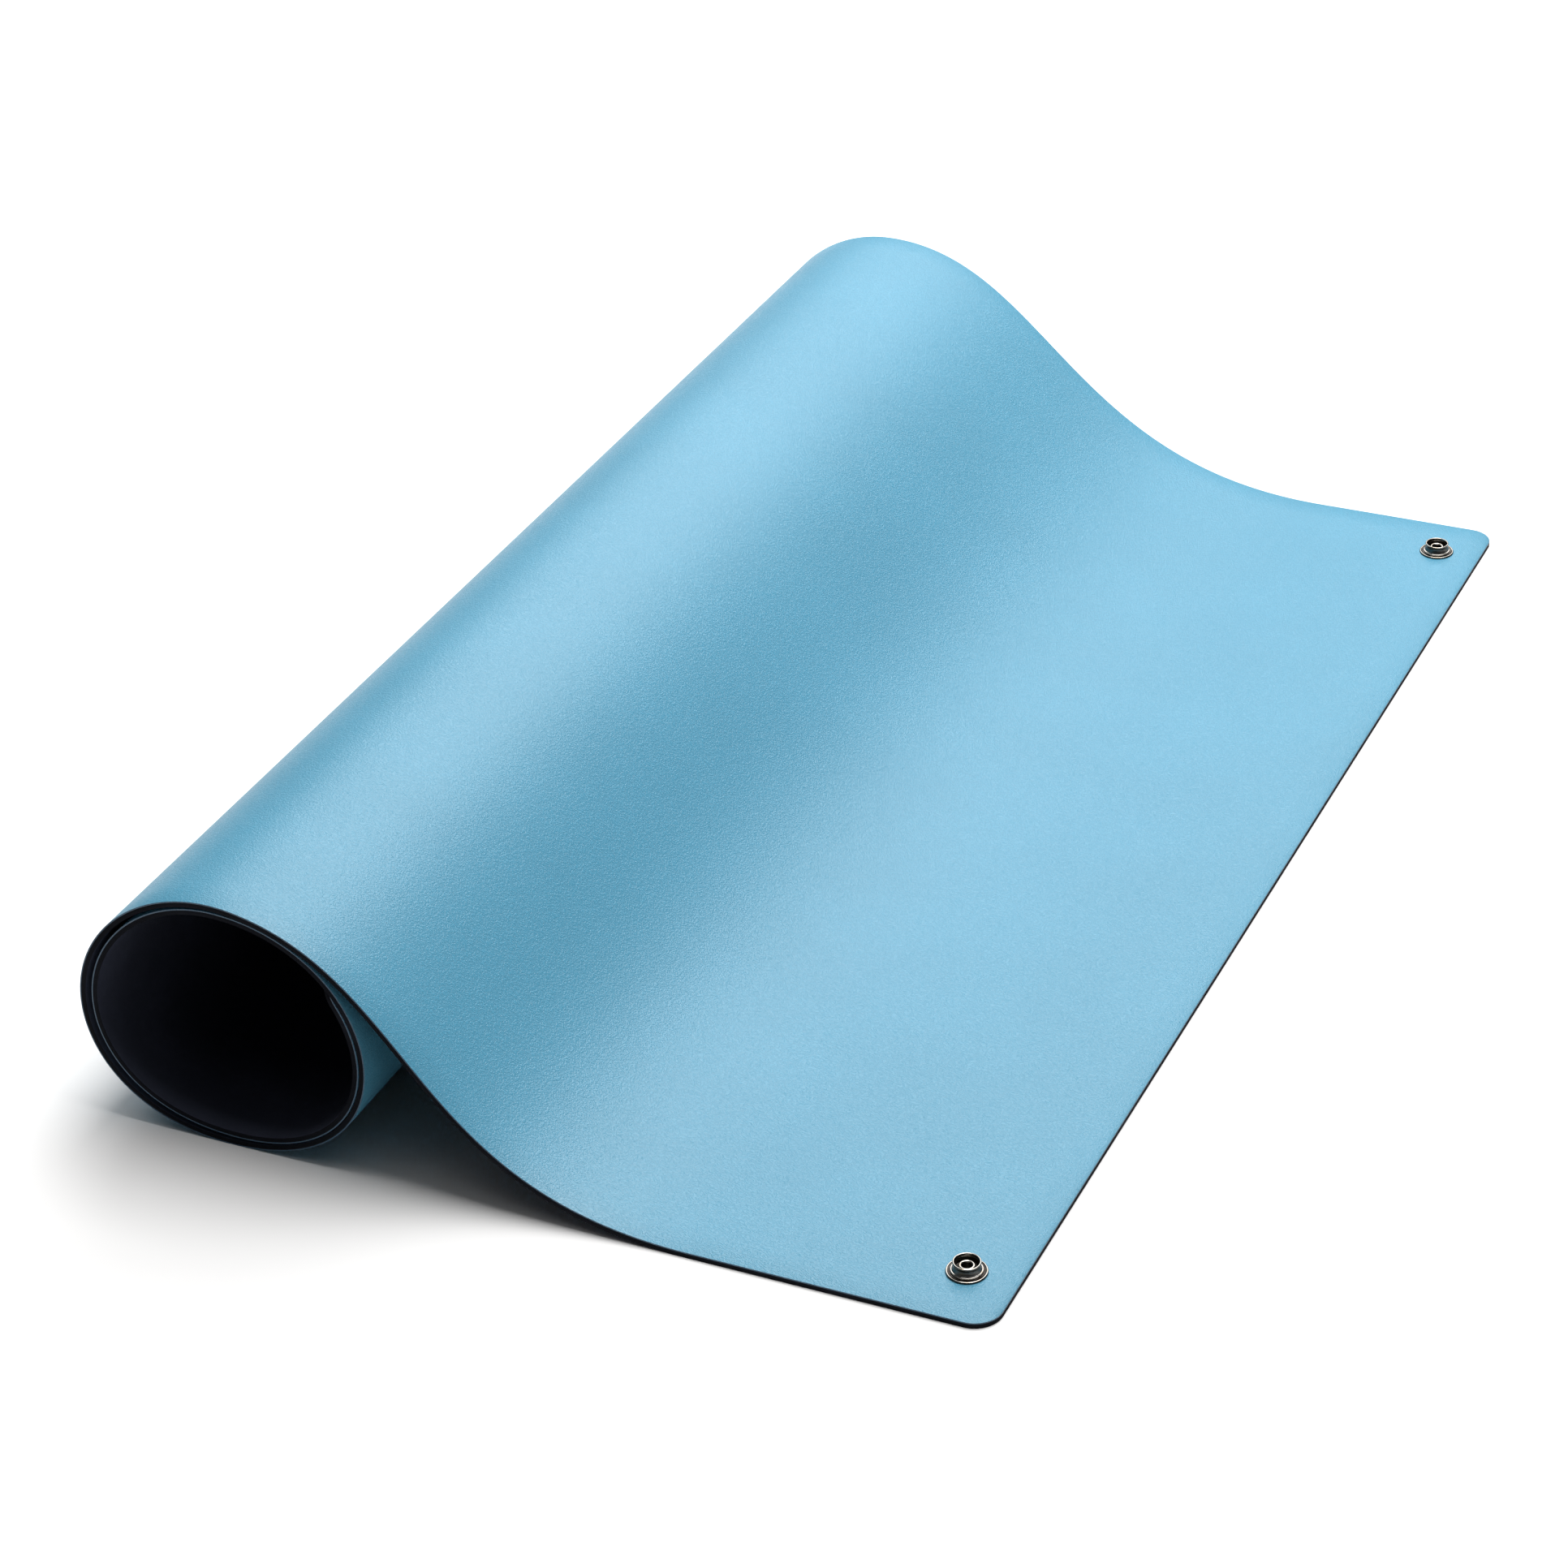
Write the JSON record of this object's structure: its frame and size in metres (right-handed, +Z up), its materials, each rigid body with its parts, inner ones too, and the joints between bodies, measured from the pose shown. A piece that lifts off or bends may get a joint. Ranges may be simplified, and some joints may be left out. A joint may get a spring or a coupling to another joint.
{
  "type": "anti static bench mat",
  "caption": "Two-layer anti-static rubber bench mat, lying flat at one end and loosely rolled at the other, with a snap stud at each flat corner.",
  "frame": {"origin": "on the bench under the middle of the lying mat: the middle of the bounding box in X and Y, at its lowest Z", "axes": "+X along the mat towards its flat end with the snap studs, +Y across its width, +Z up from the bench"},
  "size_m": [0.3398, 0.6, 0.0988],
  "materials": {
    "blue_rubber": "fine leather grain, soft sheen",
    "black_rubber": "matt",
    "nickel": "bright nickel plate"
  },
  "bodies": {
    "root": {"mat_top_layer": "blue_rubber", "mat_base_layer": "black_rubber", "front_snap_stud": "nickel", "front_snap_rivet": "nickel", "back_snap_stud": "nickel", "back_snap_rivet": "nickel"}
  },
  "joints": []
}
